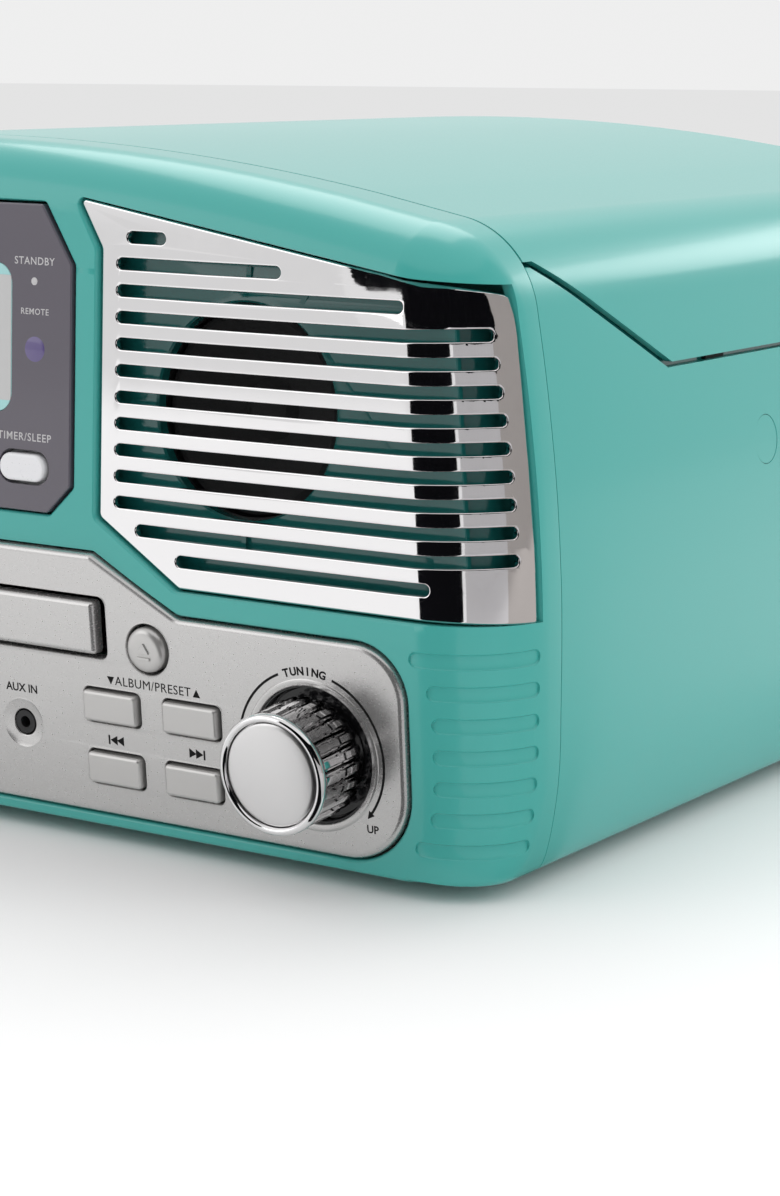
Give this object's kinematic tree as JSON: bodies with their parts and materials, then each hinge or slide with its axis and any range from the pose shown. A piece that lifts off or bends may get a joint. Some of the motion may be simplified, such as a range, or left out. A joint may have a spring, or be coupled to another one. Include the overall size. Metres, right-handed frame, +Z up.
{
  "type": "tabletop music centre with record player",
  "caption": "Retro tabletop music centre: turntable under a hinged lid, CD drawer, radio controls and chrome speaker grilles in a rounded teal body.",
  "frame": {"origin": "middle of the whole object's footprint, on the surface it stands on", "axes": "+X to the right seen from the front, +Y to the back, +Z up; the controls and grilles face -Y"},
  "size_m": [0.4182, 0.3846, 0.207],
  "materials": {
    "teal_shell": "satin-gloss moulded and lacquered teal shell",
    "black_plastic": "fine matt moulded black",
    "rubber": "matt rubber",
    "chrome_trim": "bright chrome plating",
    "speaker_paper": "pressed black paper cone",
    "dark_gloss": "dark smoked gloss fascia",
    "lcd": "pale liquid crystal display under a clear window",
    "silver_panel": "satin silver paint",
    "silver_buttons": "satin silver buttons",
    "circuit_board": "green solder mask",
    "steel": "plated steel",
    "alloy": "satin anodised",
    "platter_black": "black moulded platter",
    "brass": "turned brass"
  },
  "bodies": {
    "cabinet": {"front_moulding": "teal_shell", "cabinet_shell": "teal_shell", "bottom_plate": "black_plastic", "rear_panel": "black_plastic", "rubber_feet": "rubber", "side_plugs": "teal_shell", "grille_right": "chrome_trim", "grille_left": "chrome_trim", "speaker_frames": "black_plastic", "speaker_cones": "speaker_paper", "display_panel": "dark_gloss", "lcd_window": "lcd", "control_panel": "silver_panel", "control_backing": "black_plastic", "control_board": "circuit_board", "potentiometers": "steel", "front_jacks": "black_plastic", "line_out_jacks": "steel", "power_inlet": "black_plastic", "cd_mechanism": "steel", "main_board": "circuit_board", "power_transformer": "steel", "deck_plate": "teal_shell", "motor": "steel", "spindle_bearing": "steel", "drive_belt": "rubber", "arm_base": "black_plastic", "arm_rest": "black_plastic", "hinge_leaves_fixed": "steel", "lid_bumpers": "rubber"},
    "lid": {"lid": "teal_shell", "hinge_leaves_lid": "steel"},
    "platter": {"platter": "platter_black", "slip_mat": "rubber"},
    "motor_pulley": {"motor_pulley": "brass"},
    "arm_yoke": {"arm_yoke": "alloy"},
    "tonearm": {"tonearm": "alloy", "counterweight": "steel", "cartridge": "black_plastic"},
    "cue_bar": {"cue_bar": "alloy"},
    "cue_lever": {"cue_lever": "alloy"},
    "speed_lever": {"speed_lever": "black_plastic"},
    "auto_stop_lever": {"auto_stop_lever": "black_plastic"},
    "adapter_45": {"adapter_45": "alloy"},
    "cd_drawer": {"cd_tray": "black_plastic", "cd_door": "silver_panel"},
    "eject_button": {"eject_button": "silver_buttons"},
    "play_button": {"play_button": "silver_buttons"},
    "preset_down_button": {"preset_down_button": "silver_buttons"},
    "preset_up_button": {"preset_up_button": "silver_buttons"},
    "skip_back_button": {"skip_back_button": "silver_buttons"},
    "skip_forward_button": {"skip_forward_button": "silver_buttons"},
    "function_button": {"function_button": "silver_buttons"},
    "band_button": {"band_button": "silver_buttons"},
    "program_button": {"program_button": "silver_buttons"},
    "stop_button": {"stop_button": "silver_buttons"},
    "timer_button": {"timer_button": "silver_buttons"},
    "mode_button": {"mode_button": "silver_buttons"},
    "tuning_knob": {"tuning_knob": "chrome_trim"},
    "volume_knob": {"volume_knob": "chrome_trim"}
  },
  "joints": [
    {"name": "lid_hinge", "type": "hinge", "parent": "cabinet", "child": "lid", "pos_m": [0, 0.18865, 0.143], "axis": [-1, 0, 0], "range_deg": [0, 70]},
    {"name": "platter_spin", "type": "hinge", "parent": "cabinet", "child": "platter", "pos_m": [-0.046, 0.02516, 0.149], "axis": [0, 0, 1], "continuous": true},
    {"name": "pulley_spin", "type": "hinge", "parent": "cabinet", "child": "motor_pulley", "pos_m": [-0.11153, -0.02073, 0.145], "axis": [0, 0, 1], "continuous": true},
    {"name": "tonearm_swing", "type": "hinge", "parent": "cabinet", "child": "arm_yoke", "pos_m": [0.135, 0.12416, 0.155], "axis": [0, 0, -1], "range_deg": [0, 48]},
    {"name": "tonearm_lift", "type": "hinge", "parent": "arm_yoke", "child": "tonearm", "pos_m": [0.135, 0.12416, 0.171], "axis": [-1, 0, 0], "range_deg": [0, 4.5]},
    {"name": "cue_bar_rise", "type": "slide", "parent": "cabinet", "child": "cue_bar", "axis": [0, 0, 1], "range_m": [0, 0.0031]},
    {"name": "cue_lever_turn", "type": "hinge", "parent": "cabinet", "child": "cue_lever", "pos_m": [0.157, 0.09015, 0.151], "axis": [0, 0, 1], "range_deg": [0, 60]},
    {"name": "speed_lever_slide", "type": "slide", "parent": "cabinet", "child": "speed_lever", "axis": [0, 1, 0], "range_m": [-0.0045, 0.0045]},
    {"name": "auto_stop_slide", "type": "slide", "parent": "cabinet", "child": "auto_stop_lever", "axis": [0, 1, 0], "range_m": [0, 0.0045]},
    {"name": "adapter_lift", "type": "slide", "parent": "cabinet", "child": "adapter_45", "axis": [0, 0, 1], "range_m": [0, 0.012]},
    {"name": "cd_drawer_slide", "type": "slide", "parent": "cabinet", "child": "cd_drawer", "axis": [0, -1, 0], "range_m": [0, 0.135]},
    {"name": "eject_press", "type": "slide", "parent": "cabinet", "child": "eject_button", "axis": [0, 0.9962, 0.0872], "range_m": [0, 0.001], "stiffness_N_per_m": 500},
    {"name": "play_press", "type": "slide", "parent": "cabinet", "child": "play_button", "axis": [0, 0.9962, 0.0872], "range_m": [0, 0.001], "stiffness_N_per_m": 500},
    {"name": "preset_down_press", "type": "slide", "parent": "cabinet", "child": "preset_down_button", "axis": [0, 0.9962, 0.0872], "range_m": [0, 0.001], "stiffness_N_per_m": 500},
    {"name": "preset_up_press", "type": "slide", "parent": "cabinet", "child": "preset_up_button", "axis": [0, 0.9962, 0.0872], "range_m": [0, 0.001], "stiffness_N_per_m": 500},
    {"name": "skip_back_press", "type": "slide", "parent": "cabinet", "child": "skip_back_button", "axis": [0, 0.9962, 0.0872], "range_m": [0, 0.001], "stiffness_N_per_m": 500},
    {"name": "skip_forward_press", "type": "slide", "parent": "cabinet", "child": "skip_forward_button", "axis": [0, 0.9962, 0.0872], "range_m": [0, 0.001], "stiffness_N_per_m": 500},
    {"name": "function_press", "type": "slide", "parent": "cabinet", "child": "function_button", "axis": [0, 0.9962, 0.0872], "range_m": [0, 0.001], "stiffness_N_per_m": 500},
    {"name": "band_press", "type": "slide", "parent": "cabinet", "child": "band_button", "axis": [0, 0.9962, 0.0872], "range_m": [0, 0.001], "stiffness_N_per_m": 500},
    {"name": "program_press", "type": "slide", "parent": "cabinet", "child": "program_button", "axis": [0, 0.9962, 0.0872], "range_m": [0, 0.001], "stiffness_N_per_m": 500},
    {"name": "stop_press", "type": "slide", "parent": "cabinet", "child": "stop_button", "axis": [0, 0.9962, 0.0872], "range_m": [0, 0.001], "stiffness_N_per_m": 500},
    {"name": "timer_press", "type": "slide", "parent": "cabinet", "child": "timer_button", "axis": [0, 0.9995, -0.0314], "range_m": [0, 0.001], "stiffness_N_per_m": 500},
    {"name": "mode_press", "type": "slide", "parent": "cabinet", "child": "mode_button", "axis": [0, 0.9995, -0.0314], "range_m": [0, 0.001], "stiffness_N_per_m": 500},
    {"name": "tuning_turn", "type": "hinge", "parent": "cabinet", "child": "tuning_knob", "pos_m": [0.1486, -0.16876, 0.03834], "axis": [0, -0.9962, -0.0872], "range_deg": [-140, 140]},
    {"name": "volume_turn", "type": "hinge", "parent": "cabinet", "child": "volume_knob", "pos_m": [-0.1486, -0.16876, 0.03834], "axis": [0, -0.9962, -0.0872], "range_deg": [-140, 140]}
  ],
  "couplings": [
    {"joint": "pulley_spin", "follows": "platter_spin", "ratio": 10},
    {"joint": "cue_bar_rise", "follows": "tonearm_lift", "m_per_rad": 0.038},
    {"joint": "cue_lever_turn", "follows": "tonearm_lift", "ratio": 13.2}
  ]
}
